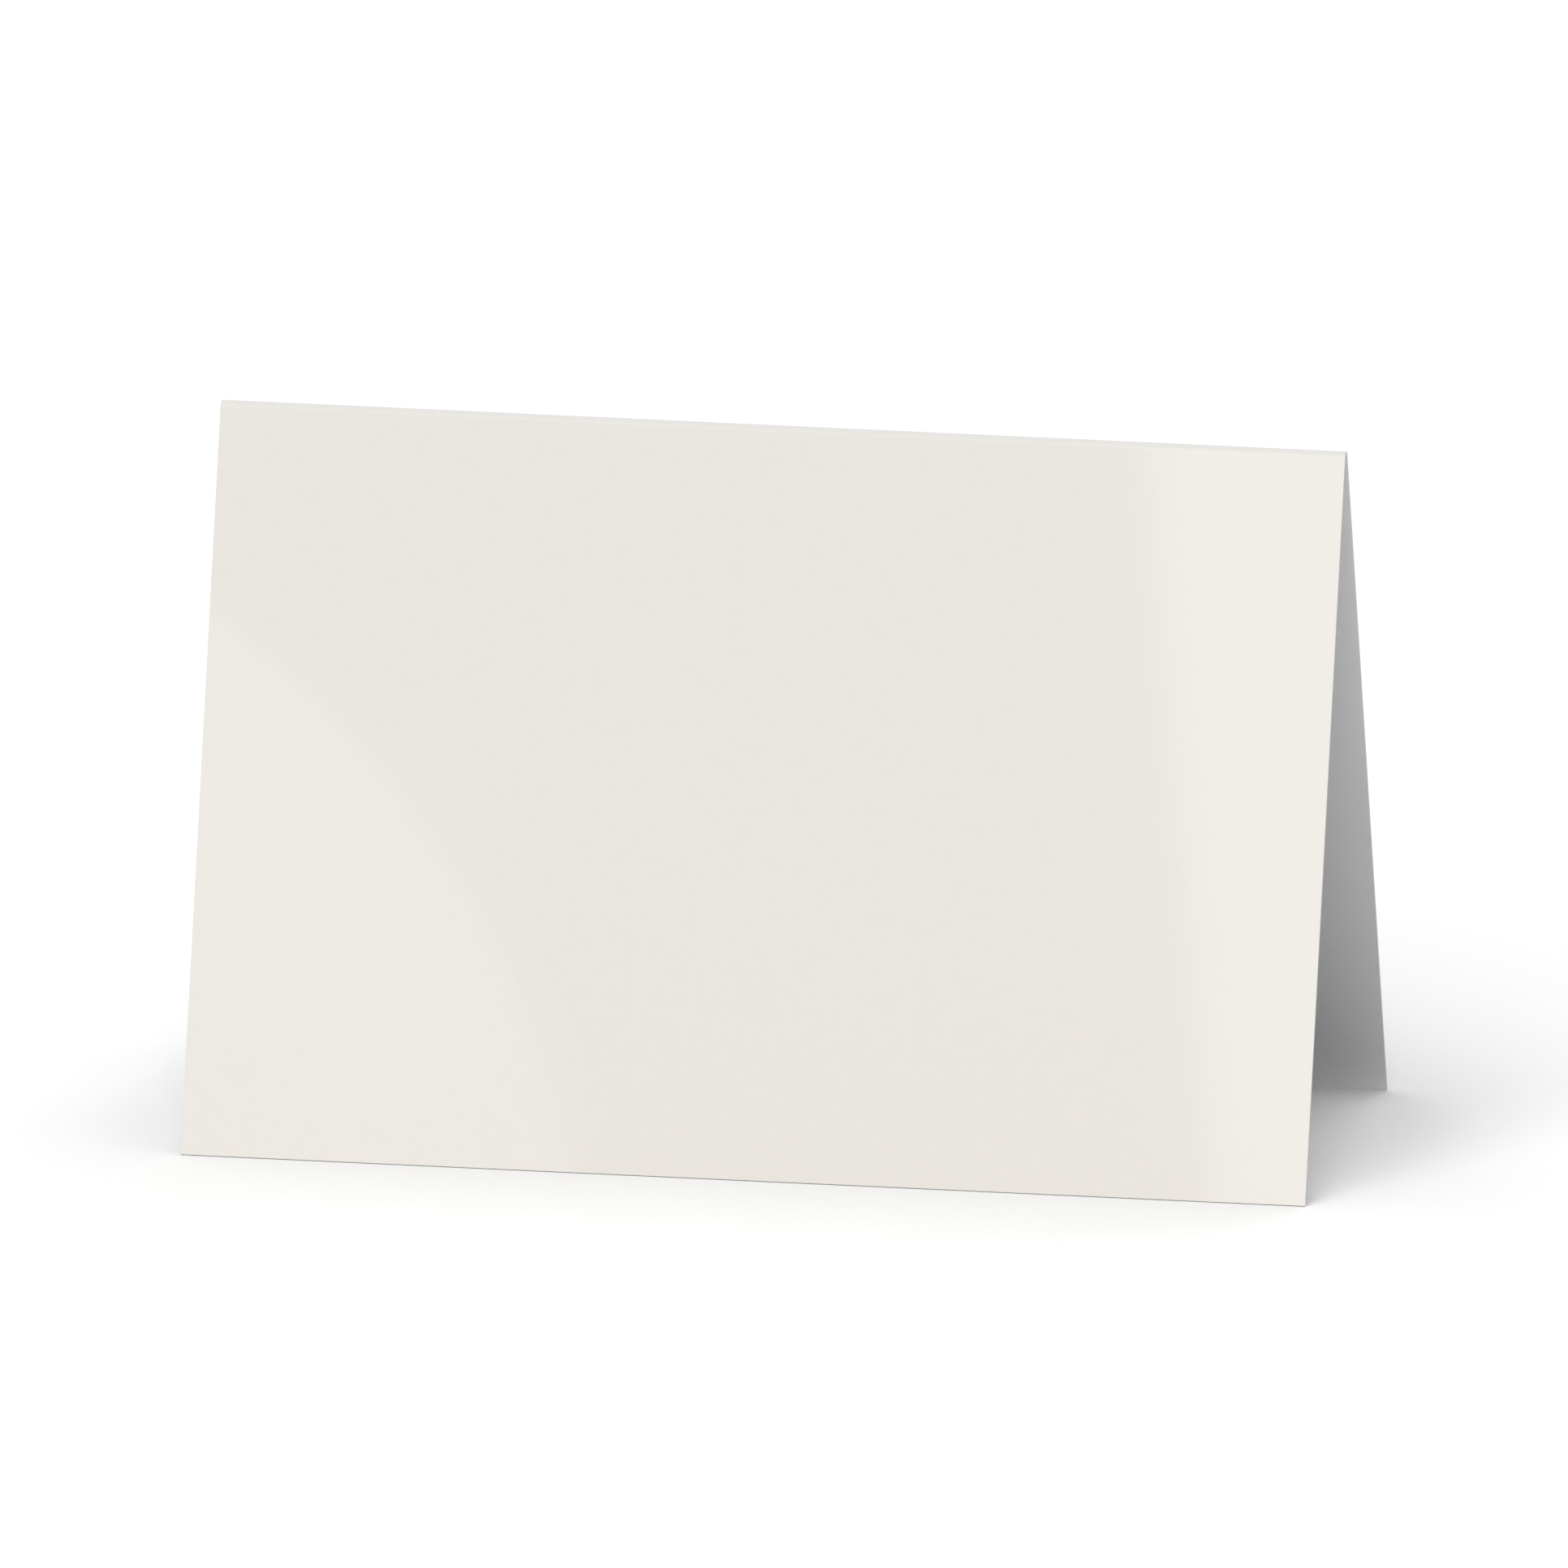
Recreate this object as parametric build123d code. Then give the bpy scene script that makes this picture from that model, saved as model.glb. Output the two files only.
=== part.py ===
from build123d import *
import math
import os

# A greeting card: one rectangular sheet of card, scored across its middle, folded once and stood open
# like a tent. Millimetres, +Z up. The fold runs along X, the front panel faces -Y, and the origin lies
# on the table, midway between the two feet and midway along the fold.

# The sheet as it is cut
card_width = 152.4  # along the fold
panel_height = 101.0  # half of the flat sheet, from the score line to the cut edge
board_thickness = 0.35  # a board of about 300 grams a square metre

# The fold
fold_inside_radius = 0.65  # a scored board bends round, and never comes to a sharp corner
opening_angle = 35.0  # between the two panels as the card stands

# How far the sheet turns at the fold, and how far each panel leans from upright
fold_turn = 180.0 - opening_angle
panel_lean = opening_angle / 2

# The middle of the board's thickness keeps its length when the board bends, so each panel gives half
# of the arc at that depth to the fold, and the rest of it stays flat.
neutral_radius = fold_inside_radius + board_thickness / 2
arc_share = neutral_radius * math.radians(fold_turn) / 2
flat_length = panel_height - arc_share

# The inside faces, carried on to where they would meet if the fold were sharp
inside_leg = flat_length + fold_inside_radius * math.tan(math.radians(fold_turn / 2))
foot_reach = inside_leg * math.sin(math.radians(panel_lean))
inside_peak = inside_leg * math.cos(math.radians(panel_lean))


def inside_line():
    """The sheet's inside face, seen along the fold: up the front panel, round the fold, down the back."""
    front_foot = (-foot_reach, 0)
    sharp_fold = (0, inside_peak)
    back_foot = (foot_reach, 0)
    return FilletPolyline(front_foot, sharp_fold, back_foot, radius=fold_inside_radius)


def folded_card():
    """The board's section, square at both cut edges, drawn out along the fold."""
    with BuildPart() as card:
        with BuildSketch(Plane.YZ):
            with BuildLine():
                inside_line()
                offset(amount=board_thickness, side=Side.LEFT, closed=True)
            make_face()
        extrude(amount=card_width / 2, both=True)
    return card.part


os.makedirs("parts", exist_ok=True)
export_step(folded_card(), "parts/folded_card.step")
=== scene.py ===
"""Models a blank greeting card, folded once and standing open like a tent, on a white studio floor."""
import math
from typing import NamedTuple

import bmesh
import bpy
from bpy.props import FloatProperty, FloatVectorProperty, IntProperty, PointerProperty
from mathutils import Matrix, Vector


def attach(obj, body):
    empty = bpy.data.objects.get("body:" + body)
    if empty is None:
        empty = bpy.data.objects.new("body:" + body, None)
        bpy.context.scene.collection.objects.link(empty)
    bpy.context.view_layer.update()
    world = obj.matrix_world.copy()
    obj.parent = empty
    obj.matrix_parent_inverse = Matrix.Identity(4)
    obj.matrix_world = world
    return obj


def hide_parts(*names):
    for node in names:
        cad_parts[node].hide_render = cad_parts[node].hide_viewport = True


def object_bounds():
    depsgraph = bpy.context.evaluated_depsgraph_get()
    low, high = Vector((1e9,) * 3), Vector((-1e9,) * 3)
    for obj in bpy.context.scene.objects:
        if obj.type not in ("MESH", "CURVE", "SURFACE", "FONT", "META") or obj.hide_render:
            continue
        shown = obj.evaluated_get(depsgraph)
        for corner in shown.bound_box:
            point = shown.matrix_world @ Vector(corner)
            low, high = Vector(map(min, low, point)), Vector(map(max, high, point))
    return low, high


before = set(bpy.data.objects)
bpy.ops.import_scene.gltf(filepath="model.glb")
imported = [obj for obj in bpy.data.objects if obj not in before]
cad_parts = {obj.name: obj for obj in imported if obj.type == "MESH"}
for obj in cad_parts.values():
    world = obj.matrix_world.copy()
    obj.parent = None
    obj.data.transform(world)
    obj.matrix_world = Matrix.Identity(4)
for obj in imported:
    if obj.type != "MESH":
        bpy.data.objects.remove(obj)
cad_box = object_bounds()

bl_info = {
    "name": "Folded greeting card",
    "version": (1, 0, 0),
    "blender": (4, 5, 0),
    "location": "View3D > Sidebar > Greeting Card",
    "description": "Cuts, scores and folds a satin-coated card and stands it in a soft white studio",
    "category": "Object",
}

MM = 0.001
ON_LINE = 1e-7  # metres: what lies closer than this to a score line counts as on it
SAME_POINT = 1e-6  # metres: points closer than this become one
CARD_NODE = "folded_card"
CARD_BODY = "root"
SHEET_UV = "flat_sheet"
NOISE_LOW, NOISE_HIGH = 0.3, 0.7  # most of a noise texture lies between these two


def linear(hex_colour):
    """An sRGB hex colour, such as #ECE8E1, as the linear red, green and blue that shaders take."""
    shares = [int(hex_colour[i : i + 2], 16) / 255 for i in (1, 3, 5)]
    return [s / 12.92 if s <= 0.04045 else ((s + 0.055) / 1.055) ** 2.4 for s in shares]


# Settings


class FoldedSheetSettings(bpy.types.PropertyGroup):
    """Sizes of the card as it is cut, scored and folded"""

    card_width: FloatProperty(
        name="Width",
        description="Length of the fold, which is the card's width",
        default=cad_box[1].x - cad_box[0].x,
        unit="LENGTH",
    )
    panel_height: FloatProperty(
        name="Panel height",
        description="Half of the flat sheet, from the score line to the cut edge",
        default=101.0 * MM,
        unit="LENGTH",
    )
    board_thickness: FloatProperty(
        name="Board thickness",
        description="Thickness of the card, a board of about 300 grams a square metre",
        default=0.35 * MM,
        precision=5,
        unit="LENGTH",
    )
    fold_inside_radius: FloatProperty(
        name="Fold radius",
        description="Radius of the fold on the inside of the card",
        default=0.65 * MM,
        precision=5,
        unit="LENGTH",
    )
    opening_angle: FloatProperty(
        name="Opening",
        description="Angle between the two panels as the card stands",
        default=math.radians(35.0),
        subtype="ANGLE",
        unit="ROTATION",
    )
    edge_softness: FloatProperty(
        name="Edge softness",
        description="How far a guillotined edge is rounded over by handling",
        default=0.05 * MM,
        precision=6,
        unit="LENGTH",
    )
    fold_steps: IntProperty(
        name="Fold steps",
        description="Flat strips that make up the round of the fold, an even number",
        default=24,
        min=4,
    )
    panel_cells: IntProperty(
        name="Panel cells",
        description="Rows of faces on each panel before it is scored, and columns along the fold",
        default=12,
        min=2,
    )


class BoardFinishSettings(bpy.types.PropertyGroup):
    """Colours and sheen of the board's coated side, bare side and cut edges"""

    coat_ivory: FloatVectorProperty(
        name="Coated side",
        description="Ivory of the satin coating on the outside",
        default=linear("#ECE8E1"),
        subtype="COLOR",
        min=0.0,
        max=1.0,
    )
    coat_roughness: FloatProperty(
        name="Coating roughness",
        description="Blur of what the satin coating reflects",
        default=0.15,
        min=0.0,
        max=1.0,
        subtype="FACTOR",
    )
    score_rub_and_shade: FloatVectorProperty(
        name="Score line",
        # Colour of the coating where the fold has stretched and rubbed it, and darkened a little as
        # painted shade against the extra light that the fold's round catches
        description="Colour of the coating where the fold has stretched and rubbed it",
        default=linear("#E7E5E1"),
        subtype="COLOR",
        min=0.0,
        max=1.0,
    )
    bare_white: FloatVectorProperty(
        name="Bare side",
        description="White of the uncoated board on the inside",
        default=linear("#F6F6F7"),
        subtype="COLOR",
        min=0.0,
        max=1.0,
    )
    edge_white: FloatVectorProperty(
        name="Cut edge",
        description="White of the board's core where it is cut",
        default=linear("#E9E7E1"),
        subtype="COLOR",
        min=0.0,
        max=1.0,
    )


class StudioSettings(bpy.types.PropertyGroup):
    """Camera and soft light of the studio"""

    view_azimuth: FloatProperty(
        name="Camera azimuth",
        description="How far the camera stands round to the card's right",
        default=math.radians(10.206),
        subtype="ANGLE",
        unit="ROTATION",
    )
    view_elevation: FloatProperty(
        name="Camera elevation",
        description="How far the camera looks down",
        default=math.radians(14.833),
        subtype="ANGLE",
        unit="ROTATION",
    )
    view_span: FloatProperty(
        name="Picture width",
        description="Width that the camera's parallel view takes in",
        default=209.12 * MM,
        unit="LENGTH",
    )
    aim_height: FloatProperty(
        name="Aim height",
        description="Height of the point in the middle of the picture",
        default=46.70 * MM,
        unit="LENGTH",
    )
    dome_strength: FloatProperty(
        name="Dome light",
        description="Even light from all round the studio",
        default=0.493,
        min=0.0,
    )
    softbox_strength: FloatProperty(
        name="Far softboxes",
        description="Brightness of all the far softboxes together",
        default=1.0,
        min=0.0,
    )


# Nodes and materials


def add_node(tree, kind, inputs=None, **settings):
    """Adds a node, sets its own settings, and fills inputs, by name or number, with a value or a link."""
    node = tree.nodes.new(kind)
    for name, value in settings.items():
        setattr(node, name, value)
    for name, value in (inputs or {}).items():
        if isinstance(value, bpy.types.NodeSocket):
            tree.links.new(value, node.inputs[name])
        else:
            node.inputs[name].default_value = value
    return node


def new_material(name):
    """An empty node material, its node tree and its output node."""
    material = bpy.data.materials.new(name)
    material.use_nodes = True
    material.node_tree.nodes.clear()
    return material, material.node_tree, add_node(material.node_tree, "ShaderNodeOutputMaterial")


def sheet_millimetres(tree, sheet):
    """The flat sheet's own millimetres from its middle, so that patterns run on round the fold."""
    flat = add_node(tree, "ShaderNodeUVMap", uv_map=SHEET_UV)
    size = Vector((sheet.card_width, 2 * sheet.panel_height, MM)) / MM
    corner = Vector((-size.x / 2, -size.y / 2, 0.0))
    scaled = add_node(
        tree,
        "ShaderNodeMapping",
        {"Vector": flat.outputs["UV"], "Scale": size, "Location": corner},
    )
    return scaled.outputs["Vector"]


def fold_rub_and_shade(tree, place, sheet):
    """1 along the middle of the bend, passing smoothly to 0 where the flat panels begin."""
    bend_end_mm = score_lines(sheet)[-1] / MM
    sheet_axes = add_node(tree, "ShaderNodeSeparateXYZ", {"Vector": place})
    off_line = add_node(tree, "ShaderNodeMath", {0: sheet_axes.outputs["Y"]}, operation="ABSOLUTE")
    passing = add_node(
        tree,
        "ShaderNodeMapRange",
        {
            "Value": off_line.outputs["Value"],
            "From Min": bend_end_mm / 2,
            "From Max": bend_end_mm,
            "To Min": 1.0,
            "To Max": 0.0,
        },
        interpolation_type="SMOOTHSTEP",
    )
    return passing.outputs["Result"]


def satin_coated_board(sheet, finish):
    """Board coated with clay and calendered to a satin sheen."""
    # The coating is even and closed, so the eye sees one ivory with soft-edged reflections in it, a
    # duller and less creamy line along the fold, where the rub and a little painted shade darken it, and
    # only close by a faint cloudiness where the fibres under the coating lie thicker or thinner.
    material, tree, output = new_material("satin_coated_board")
    place = sheet_millimetres(tree, sheet)
    rub_and_shade = fold_rub_and_shade(tree, place, sheet)
    cloud_mm = 2.0
    cloud = add_node(
        tree,
        "ShaderNodeTexNoise",
        {"Vector": place, "Scale": 1 / cloud_mm, "Detail": 3.0, "Roughness": 0.55},
        noise_dimensions="2D",
    )
    # The coating's own grain is about 0.1 mm, and is drawn at 0.4 mm so that it shows.
    grain_mm = 0.4
    grain = add_node(
        tree,
        "ShaderNodeTexNoise",
        {"Vector": place, "Scale": 1 / grain_mm, "Detail": 2.0},
        noise_dimensions="2D",
    )
    cloud_shade = 0.994
    shade = add_node(
        tree,
        "ShaderNodeMapRange",
        {
            "Value": cloud.outputs["Fac"],
            "From Min": NOISE_LOW,
            "From Max": NOISE_HIGH,
            "To Min": cloud_shade,
            "To Max": 1.0,
        },
    )
    ivory = Vector(finish.coat_ivory)
    # Painted shade: along the fold the colour goes a little darker than the rub alone would leave it, to
    # offset the extra light that the fold's round catches.
    even = add_node(
        tree,
        "ShaderNodeVectorMath",
        {0: rub_and_shade, 1: Vector(finish.score_rub_and_shade) - ivory, 2: ivory},
        operation="MULTIPLY_ADD",
    )
    colour = add_node(
        tree,
        "ShaderNodeVectorMath",
        {0: even.outputs["Vector"], "Scale": shade.outputs["Result"]},
        operation="SCALE",
    )
    rubbed_roughness = 0.45
    sheen = add_node(
        tree,
        "ShaderNodeMapRange",
        {"Value": rub_and_shade, "To Min": finish.coat_roughness, "To Max": rubbed_roughness},
    )
    grain_height = 0.01 * MM
    relief = add_node(
        tree,
        "ShaderNodeBump",
        {"Height": grain.outputs["Fac"], "Strength": 0.15, "Distance": grain_height},
    )
    shader = add_node(
        tree,
        "ShaderNodeBsdfPrincipled",
        {
            "Base Color": colour.outputs["Vector"],
            "Roughness": sheen.outputs["Result"],
            "IOR": 1.5,
            "Normal": relief.outputs["Normal"],
        },
    )
    tree.links.new(shader.outputs["BSDF"], output.inputs["Surface"])
    return material


def uncoated_board(sheet, finish):
    """Bleached board with its fibres left bare."""
    # Nothing closes the surface, so it is matt, and a low light picks out a felt of fibres that lie
    # mostly along the sheet's grain.
    material, tree, output = new_material("uncoated_board")
    place = sheet_millimetres(tree, sheet)
    # Fibres are about 0.03 mm thick and 2 mm long, and are drawn 0.2 mm thick so that they show.
    fibre_long_mm = 2.0
    fibre_thick_mm = 0.2
    combed = add_node(
        tree,
        "ShaderNodeMapping",
        {"Vector": place, "Scale": (1 / fibre_long_mm, 1 / fibre_thick_mm, 1.0)},
    )
    fibres = add_node(
        tree,
        "ShaderNodeTexNoise",
        {"Vector": combed.outputs["Vector"], "Scale": 1.0, "Detail": 3.0, "Distortion": 0.6},
        noise_dimensions="2D",
    )
    between_fibres = 0.975
    shade = add_node(
        tree,
        "ShaderNodeMapRange",
        {
            "Value": fibres.outputs["Fac"],
            "From Min": NOISE_LOW,
            "From Max": NOISE_HIGH,
            "To Min": between_fibres,
            "To Max": 1.0,
        },
    )
    colour = add_node(
        tree,
        "ShaderNodeVectorMath",
        {0: finish.bare_white, "Scale": shade.outputs["Result"]},
        operation="SCALE",
    )
    fibre_height = 0.02 * MM
    relief = add_node(
        tree,
        "ShaderNodeBump",
        {"Height": fibres.outputs["Fac"], "Strength": 0.35, "Distance": fibre_height},
    )
    shader = add_node(
        tree,
        "ShaderNodeBsdfPrincipled",
        {
            "Base Color": colour.outputs["Vector"],
            "Roughness": 0.85,
            "IOR": 1.45,
            "Normal": relief.outputs["Normal"],
        },
    )
    tree.links.new(shader.outputs["BSDF"], output.inputs["Surface"])
    return material


def guillotined_edge(sheet, finish):
    """The board's core where the guillotine cut it."""
    # A cut edge is rough and matt, and the board's plies show in it as faint lines along the edge.
    material, tree, output = new_material("guillotined_edge")
    ply_mm = 0.12
    lean = sheet.opening_angle / 2
    # Both panels lean the same way from the middle, so one direction runs through the board of either.
    through_board = (0.0, math.cos(lean), math.sin(lean))
    place = add_node(tree, "ShaderNodeTexCoord")
    mirrored = add_node(
        tree,
        "ShaderNodeVectorMath",
        {0: place.outputs["Object"]},
        operation="ABSOLUTE",
    )
    depth = add_node(
        tree,
        "ShaderNodeVectorMath",
        {0: mirrored.outputs["Vector"], 1: through_board},
        operation="DOT_PRODUCT",
    )
    plies = add_node(
        tree,
        "ShaderNodeTexNoise",
        {"W": depth.outputs["Value"], "Scale": 1 / (ply_mm * MM), "Detail": 1.0},
        noise_dimensions="1D",
    )
    between_plies = 0.92
    shade = add_node(
        tree,
        "ShaderNodeMapRange",
        {
            "Value": plies.outputs["Fac"],
            "From Min": NOISE_LOW,
            "From Max": NOISE_HIGH,
            "To Min": between_plies,
            "To Max": 1.0,
        },
    )
    colour = add_node(
        tree,
        "ShaderNodeVectorMath",
        {0: finish.edge_white, "Scale": shade.outputs["Result"]},
        operation="SCALE",
    )
    shader = add_node(
        tree,
        "ShaderNodeBsdfPrincipled",
        {"Base Color": colour.outputs["Vector"], "Roughness": 0.9, "IOR": 1.45},
    )
    tree.links.new(shader.outputs["BSDF"], output.inputs["Surface"])
    return material


# The card


def cut_sheet(bm, sheet):
    """Cuts the flat sheet, with the score line along X in its middle."""
    length = 2 * sheet.panel_height
    bmesh.ops.create_grid(bm, x_segments=sheet.panel_cells, y_segments=2 * sheet.panel_cells, size=0.5)
    bmesh.ops.scale(bm, vec=(sheet.card_width, length, 1.0), verts=bm.verts)


def score_lines(sheet):
    """Where the board bends, as distances from the middle of the sheet, on one side of it."""
    neutral_radius = sheet.fold_inside_radius + sheet.board_thickness / 2
    arc = neutral_radius * (math.pi - sheet.opening_angle)
    return [arc * i / sheet.fold_steps for i in range(sheet.fold_steps // 2 + 1)]


def score_sheet(bm, sheet):
    """Presses the score lines into the sheet, and one more on each panel to hold it flat to the fold."""
    lines = score_lines(sheet)
    held_flat = lines[-1] + sheet.board_thickness
    for y in [side * line for line in [*lines, held_flat] for side in (-1, 1)]:
        bmesh.ops.bisect_plane(
            bm,
            geom=[*bm.verts, *bm.edges, *bm.faces],
            dist=ON_LINE,
            plane_co=(0.0, y, 0.0),
            plane_no=(0.0, 1.0, 0.0),
        )
    bmesh.ops.remove_doubles(bm, verts=bm.verts, dist=SAME_POINT)


def map_flat_sheet(bm, sheet):
    """Lays a UV map over the sheet while it is flat."""
    uv = bm.loops.layers.uv.new(SHEET_UV)
    for loop in (loop for face in bm.faces for loop in face.loops):
        x, y = loop.vert.co.xy
        loop[uv].uv = (x / sheet.card_width + 0.5, y / (2 * sheet.panel_height) + 0.5)


def fold_sheet(bm, sheet):
    """Turns both halves of the sheet down, line by line from the middle outwards."""
    lines = score_lines(sheet)
    turn = (math.pi - sheet.opening_angle) / sheet.fold_steps
    flat_y = {vert: vert.co.y for vert in bm.verts}
    for side in (-1, 1):
        for line in lines:
            share = 0.5 if line in (lines[0], lines[-1]) else 1.0
            hinge = next(v for v in bm.verts if abs(flat_y[v] - side * line) < ON_LINE)
            bmesh.ops.rotate(
                bm,
                cent=hinge.co.copy(),
                matrix=Matrix.Rotation(-side * share * turn, 3, "X"),
                verts=[v for v in bm.verts if side * flat_y[v] > line + ON_LINE],
            )


def stand_sheet(bm, sheet):
    """Sets the inner corners of the two cut edges on the table."""
    lowest = min(v.co.z for v in bm.verts)
    inner_corner = sheet.board_thickness / 2 * math.sin(sheet.opening_angle / 2)
    bmesh.ops.translate(bm, vec=(0.0, 0.0, inner_corner - lowest), verts=bm.verts)


def folded_mesh(sheet):
    """The sheet cut, scored, folded and stood on the table, before it gets its thickness."""
    bm = bmesh.new()
    cut_sheet(bm, sheet)
    score_sheet(bm, sheet)
    map_flat_sheet(bm, sheet)
    fold_sheet(bm, sheet)
    stand_sheet(bm, sheet)
    mesh = bpy.data.meshes.new("card_sheet")
    bm.to_mesh(mesh)
    bm.free()
    mesh.shade_smooth()
    return mesh


def thicken_to_board(card, sheet):
    """Gives the sheet its thickness and softens the edges that the guillotine left."""
    board = card.modifiers.new("board", "SOLIDIFY")
    board.thickness = sheet.board_thickness
    board.offset = 0.0
    board.use_even_offset = True
    # The outside keeps the first finish, the inside takes the second and the cut edges the third.
    board.material_offset = 1
    board.material_offset_rim = 2
    soft_edge = card.modifiers.new("soft_edge", "BEVEL")
    soft_edge.width = sheet.edge_softness
    soft_edge.segments = 2
    soft_edge.profile = 0.5
    soft_edge.limit_method = "ANGLE"
    soft_edge.angle_limit = math.radians(60.0)
    soft_edge.harden_normals = True


class GREETINGCARD_OT_fold_sheet(bpy.types.Operator):
    """Cut, score, fold and stand the sheet, and give its two sides and its edges their finish"""

    bl_idname = "greeting_card.fold_sheet"
    bl_label = "Fold the Card"

    def execute(self, context):
        sheet = context.scene.folded_sheet
        finish = context.scene.board_finish
        mesh = folded_mesh(sheet)
        for surface in (satin_coated_board, uncoated_board, guillotined_edge):
            mesh.materials.append(surface(sheet, finish))
        card = bpy.data.objects.new("card_sheet", mesh)
        context.scene.collection.objects.link(card)
        thicken_to_board(card, sheet)
        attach(card, CARD_BODY)
        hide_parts(CARD_NODE)
        return {"FINISHED"}


# The studio


class FarSoftbox(NamedTuple):
    """A softbox so far off that it lights the whole card evenly."""

    name: str
    azimuth: float  # degrees round to the right of straight in front
    elevation: float  # degrees above the floor
    width: float  # degrees that it takes up, seen from the card
    strength: float  # light on a surface that faces it


FAR_SOFTBOXES = (
    FarSoftbox("front_softbox", azimuth=-14.0, elevation=48.0, width=50.0, strength=1.465),
    FarSoftbox("back_right_softbox", azimuth=162.0, elevation=44.0, width=36.0, strength=0.346),
    FarSoftbox("back_left_softbox", azimuth=-135.0, elevation=40.0, width=30.0, strength=0.124),
)


class SheenBox(NamedTuple):
    """A softbox that only shows as sheen, placed and sized as the camera sees it on the front panel."""

    name: str
    shape: str
    across: float  # mm to the right of the panel's middle
    up: float  # mm up the panel from its foot
    width: float  # mm
    height: float  # mm
    tilt: float  # degrees that its top leans to the left
    distance: float  # mm from the panel: the further off, the softer its edge looks
    brightness: float  # with the white studio as 1


SHEEN_BOXES = (
    SheenBox(
        "right_sheen",
        "RECTANGLE",
        across=86.65,
        up=54.9,
        width=60.0,
        height=162.0,
        tilt=8.1,
        distance=69.0,
        brightness=1.4,
    ),
    SheenBox(
        "left_sheen",
        "ELLIPSE",
        across=-137.0,
        up=-25.0,
        width=230.0,
        height=230.0,
        tilt=0.0,
        distance=18.0,
        brightness=0.7,
    ),
)


def direction(azimuth, elevation):
    """The way from the card to what stands at this azimuth, to the right of the front, and elevation."""
    level = math.cos(elevation)
    return Vector((math.sin(azimuth) * level, -math.cos(azimuth) * level, math.sin(elevation)))


def seen_rays(tree):
    """1 for what is seen, straight or in gloss or glass, and 0 for the light that falls on things."""
    rays = add_node(tree, "ShaderNodeLightPath")
    seen = rays.outputs["Is Camera Ray"]
    for kind in ("Is Glossy Ray", "Is Transmission Ray"):
        either = add_node(tree, "ShaderNodeMath", {0: seen, 1: rays.outputs[kind]}, operation="MAXIMUM")
        seen = either.outputs["Value"]
    return seen


def white_studio_world(scene, studio):
    """A world that lights evenly, and that the camera and reflections see as plain white."""
    world = bpy.data.worlds.new("white_studio")
    world.use_nodes = True
    tree = world.node_tree
    tree.nodes.clear()
    white = (1.0, 1.0, 1.0, 1.0)
    light = add_node(tree, "ShaderNodeBackground", {"Color": white, "Strength": studio.dome_strength})
    backdrop = add_node(tree, "ShaderNodeBackground", {"Color": white, "Strength": 1.0})
    both = add_node(
        tree,
        "ShaderNodeMixShader",
        {"Fac": seen_rays(tree), 1: light.outputs["Background"], 2: backdrop.outputs["Background"]},
    )
    add_node(tree, "ShaderNodeOutputWorld", {"Surface": both.outputs["Shader"]})
    scene.world = world


def away_from_card(tree):
    """0 on the floor under the card, passing smoothly to 1 at its feet and beyond its ends."""
    border = 10.0 * MM
    half_size = Vector((cad_box[1].x, cad_box[1].y - border, 0.0))
    place = add_node(tree, "ShaderNodeTexCoord")
    mirrored = add_node(
        tree,
        "ShaderNodeVectorMath",
        {0: place.outputs["Object"]},
        operation="ABSOLUTE",
    )
    past = add_node(
        tree,
        "ShaderNodeVectorMath",
        {0: mirrored.outputs["Vector"], 1: half_size},
        operation="SUBTRACT",
    )
    outside = add_node(
        tree,
        "ShaderNodeVectorMath",
        {0: past.outputs["Vector"], 1: (0.0, 0.0, 0.0)},
        operation="MAXIMUM",
    )
    distance = add_node(
        tree,
        "ShaderNodeVectorMath",
        {0: outside.outputs["Vector"]},
        operation="LENGTH",
    )
    passing = add_node(
        tree,
        "ShaderNodeMapRange",
        {"Value": distance.outputs["Value"], "From Max": border},
        interpolation_type="SMOOTHSTEP",
    )
    return passing.outputs["Result"]


def white_paint_and_painted_shade():
    """Matt white paint, rolled on the studio floor."""
    # Matt paint has no gloss, so the eye sees only white, and the card's shadow on it, which painted
    # shade deepens close to the card's feet.
    material, tree, output = new_material("white_paint_and_painted_shade")
    # Painted shade: the floor under the card is dark to the light it throws back, though the camera sees
    # it white, so that the foot of the card's inside stays in the shade; round the card it throws light
    # back as white paint does.
    bounce_under_card_painted_dark = 0.1
    thrown_from_round = 0.8
    away = away_from_card(tree)
    thrown_back = add_node(
        tree,
        "ShaderNodeMapRange",
        {"Value": away, "To Min": bounce_under_card_painted_dark, "To Max": thrown_from_round},
    )
    painted = add_node(tree, "ShaderNodeBsdfDiffuse", {"Color": thrown_back.outputs["Result"]})
    # Painted shade: an ambient occlusion darkens the floor's colour close to the outside of the card's
    # feet, as shade gathers there under a wide soft light. The camera sees the rest of the floor a little
    # lighter than the light makes it, so that it is white.
    shade_reach = 40.0 * MM
    shade_strength = 0.4
    open_white = 1.126
    full_shade = open_white * (1 - shade_strength)
    sky = add_node(tree, "ShaderNodeAmbientOcclusion", {"Distance": shade_reach}, samples=1)
    hidden = add_node(tree, "ShaderNodeMath", {0: 1.0, 1: sky.outputs["AO"]}, operation="SUBTRACT")
    near = add_node(tree, "ShaderNodeMath", {0: hidden.outputs["Value"], 1: away}, operation="MULTIPLY")
    shown = add_node(
        tree,
        "ShaderNodeMapRange",
        {"Value": near.outputs["Value"], "To Min": open_white, "To Max": full_shade},
    )
    seen = add_node(tree, "ShaderNodeBsdfDiffuse", {"Color": shown.outputs["Result"]})
    both = add_node(
        tree,
        "ShaderNodeMixShader",
        {"Fac": seen_rays(tree), 1: painted.outputs["BSDF"], 2: seen.outputs["BSDF"]},
    )
    tree.links.new(both.outputs["Shader"], output.inputs["Surface"])
    return material


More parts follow.
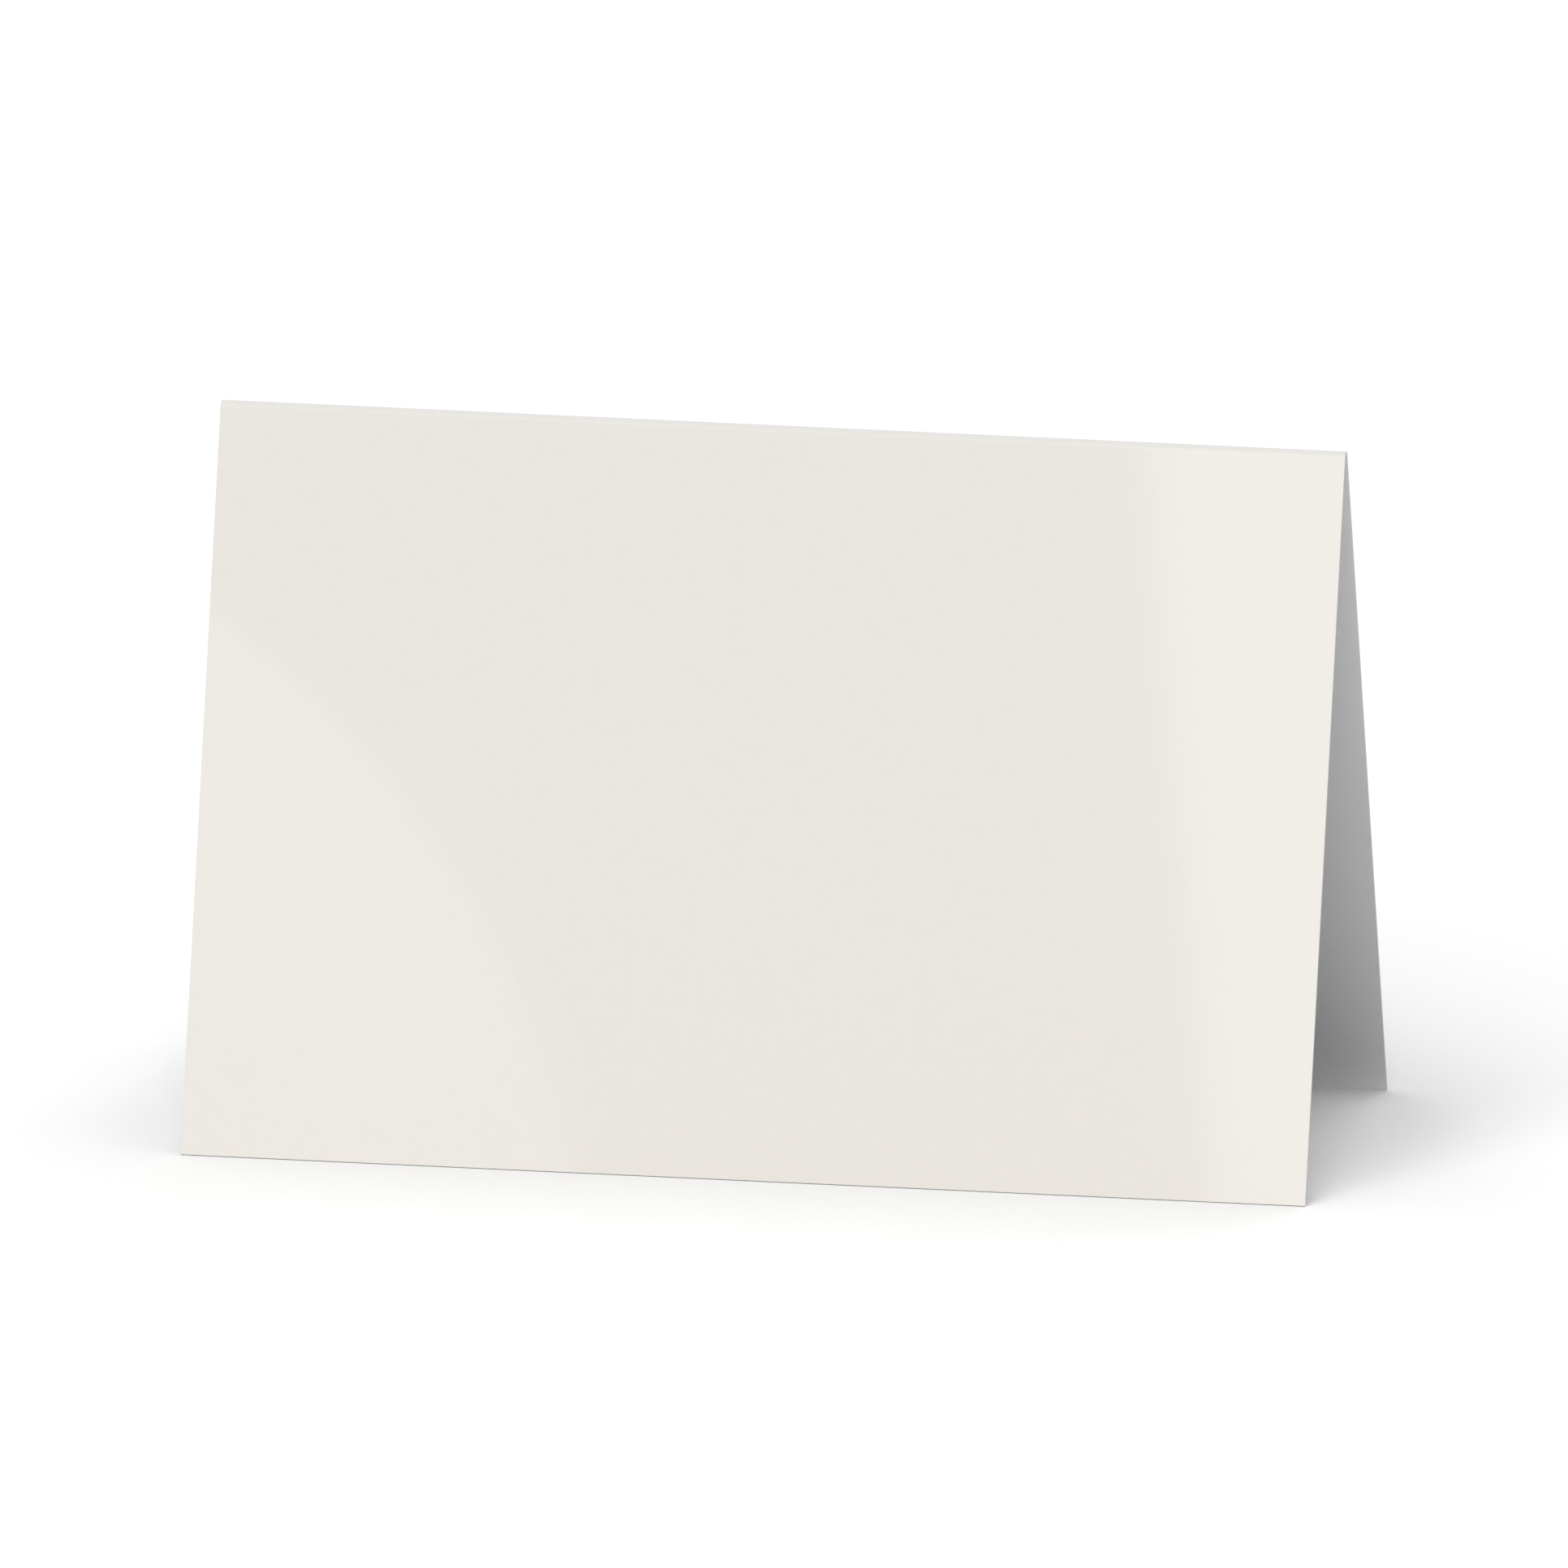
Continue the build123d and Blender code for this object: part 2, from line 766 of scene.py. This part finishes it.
def white_floor(scene):
    """A wide round floor that keeps the card's shadow and is white where nothing shades it."""
    floor_radius = 4.0
    bm = bmesh.new()
    bmesh.ops.create_circle(bm, cap_ends=True, segments=64, radius=floor_radius)
    mesh = bpy.data.meshes.new("floor")
    bm.to_mesh(mesh)
    bm.free()
    mesh.materials.append(white_paint_and_painted_shade())
    floor = bpy.data.objects.new("floor", mesh)
    scene.collection.objects.link(floor)


def far_softbox(scene, studio, box):
    """Lights the whole card from one side of the studio."""
    lamp = bpy.data.lights.new(box.name, "SUN")
    lamp.energy = box.strength * studio.softbox_strength
    lamp.angle = math.radians(box.width)
    stand = bpy.data.objects.new(box.name, lamp)
    scene.collection.objects.link(stand)
    towards = direction(math.radians(box.azimuth), math.radians(box.elevation))
    stand.location = towards
    stand.rotation_euler = towards.to_track_quat("Z", "Y").to_euler()
    # The white studio is what shows in the sheen, so the lamps themselves don't.
    stand.visible_glossy = False


def sheen_box(scene, sheet, studio, box):
    """Hangs a softbox where the camera sees it mirrored at its place on the front panel."""
    lean = sheet.opening_angle / 2
    upslope = Vector((0.0, math.sin(lean), math.cos(lean)))
    outward = Vector((0.0, -math.cos(lean), math.sin(lean)))
    foot = Vector((0.0, cad_box[0].y, 0.0))
    place = foot + Vector((box.across * MM, 0.0, 0.0)) + upslope * box.up * MM
    mirrored = (-direction(studio.view_azimuth, studio.view_elevation)).reflect(outward)
    top = (upslope - upslope.project(mirrored)).normalized()
    top.rotate(Matrix.Rotation(math.radians(box.tilt), 3, mirrored))
    lamp = bpy.data.lights.new(box.name, "AREA")
    lamp.shape = box.shape
    lamp.size = box.width * MM
    lamp.size_y = box.height * MM
    area = lamp.size * lamp.size_y * (math.pi / 4 if box.shape == "ELLIPSE" else 1.0)
    # A grid over the lamp keeps its light off what lies far to the side. The light that it gathers
    # straight ahead is taken off the lamp's power again.
    half_beam = math.radians(70.0)
    lamp.spread = 2 * half_beam
    straight_ahead = math.tan(half_beam) / (math.tan(half_beam) - half_beam)
    lamp.energy = box.brightness * math.pi * area / straight_ahead
    stand = bpy.data.objects.new(box.name, lamp)
    scene.collection.objects.link(stand)
    turned = Matrix((top.cross(mirrored), top, mirrored)).transposed().to_4x4()
    stand.matrix_world = Matrix.Translation(place + mirrored * box.distance * MM) @ turned
    stand.visible_camera = False
    stand.visible_diffuse = False


def parallel_camera(scene, studio):
    """A camera with a parallel view, aimed at the middle of the card."""
    camera_distance = 2.0
    camera = bpy.data.cameras.new("camera")
    camera.type = "ORTHO"
    camera.ortho_scale = studio.view_span
    camera.clip_start = 0.01
    camera.clip_end = 20.0
    stand = bpy.data.objects.new("camera", camera)
    scene.collection.objects.link(stand)
    back = direction(studio.view_azimuth, studio.view_elevation)
    stand.location = Vector((0.0, 0.0, studio.aim_height)) + back * camera_distance
    stand.rotation_euler = (-back).to_track_quat("-Z", "Y").to_euler()
    scene.camera = stand


class GREETINGCARD_OT_set_stage(bpy.types.Operator):
    """Set up the white floor, the soft light and the camera"""

    bl_idname = "greeting_card.set_stage"
    bl_label = "Set the Stage"

    def execute(self, context):
        scene = context.scene
        scene.view_settings.view_transform = "Standard"
        studio = scene.studio
        white_studio_world(scene, studio)
        white_floor(scene)
        parallel_camera(scene, studio)
        for box in FAR_SOFTBOXES:
            far_softbox(scene, studio, box)
        for box in SHEEN_BOXES:
            sheen_box(scene, scene.folded_sheet, studio, box)
        return {"FINISHED"}


class GREETINGCARD_PT_sidebar(bpy.types.Panel):
    """Lists the steps that make the card and its studio, with their settings"""

    bl_label = "Greeting Card"
    bl_space_type = "VIEW_3D"
    bl_region_type = "UI"
    bl_category = "Greeting Card"

    def draw(self, context):
        for operator, groups in STEPS:
            box = self.layout.box()
            box.operator(operator.bl_idname)
            for name in groups:
                settings = getattr(context.scene, name)
                for key in settings.bl_rna.properties.keys():
                    if key not in ("rna_type", "name"):
                        box.prop(settings, key)


SETTINGS = {
    "folded_sheet": FoldedSheetSettings,
    "board_finish": BoardFinishSettings,
    "studio": StudioSettings,
}
STEPS = [
    (GREETINGCARD_OT_fold_sheet, ("folded_sheet", "board_finish")),
    (GREETINGCARD_OT_set_stage, ("studio",)),
]


def register():
    for name, settings in SETTINGS.items():
        bpy.utils.register_class(settings)
        setattr(bpy.types.Scene, name, PointerProperty(type=settings))
    for operator, _ in STEPS:
        bpy.utils.register_class(operator)
    bpy.utils.register_class(GREETINGCARD_PT_sidebar)


def unregister():
    bpy.utils.unregister_class(GREETINGCARD_PT_sidebar)
    for operator, _ in reversed(STEPS):
        bpy.utils.unregister_class(operator)
    for name, settings in reversed(SETTINGS.items()):
        delattr(bpy.types.Scene, name)
        bpy.utils.unregister_class(settings)


def main():
    register()
    bpy.ops.greeting_card.fold_sheet()
    bpy.ops.greeting_card.set_stage()


if __name__ == "__main__":
    main()
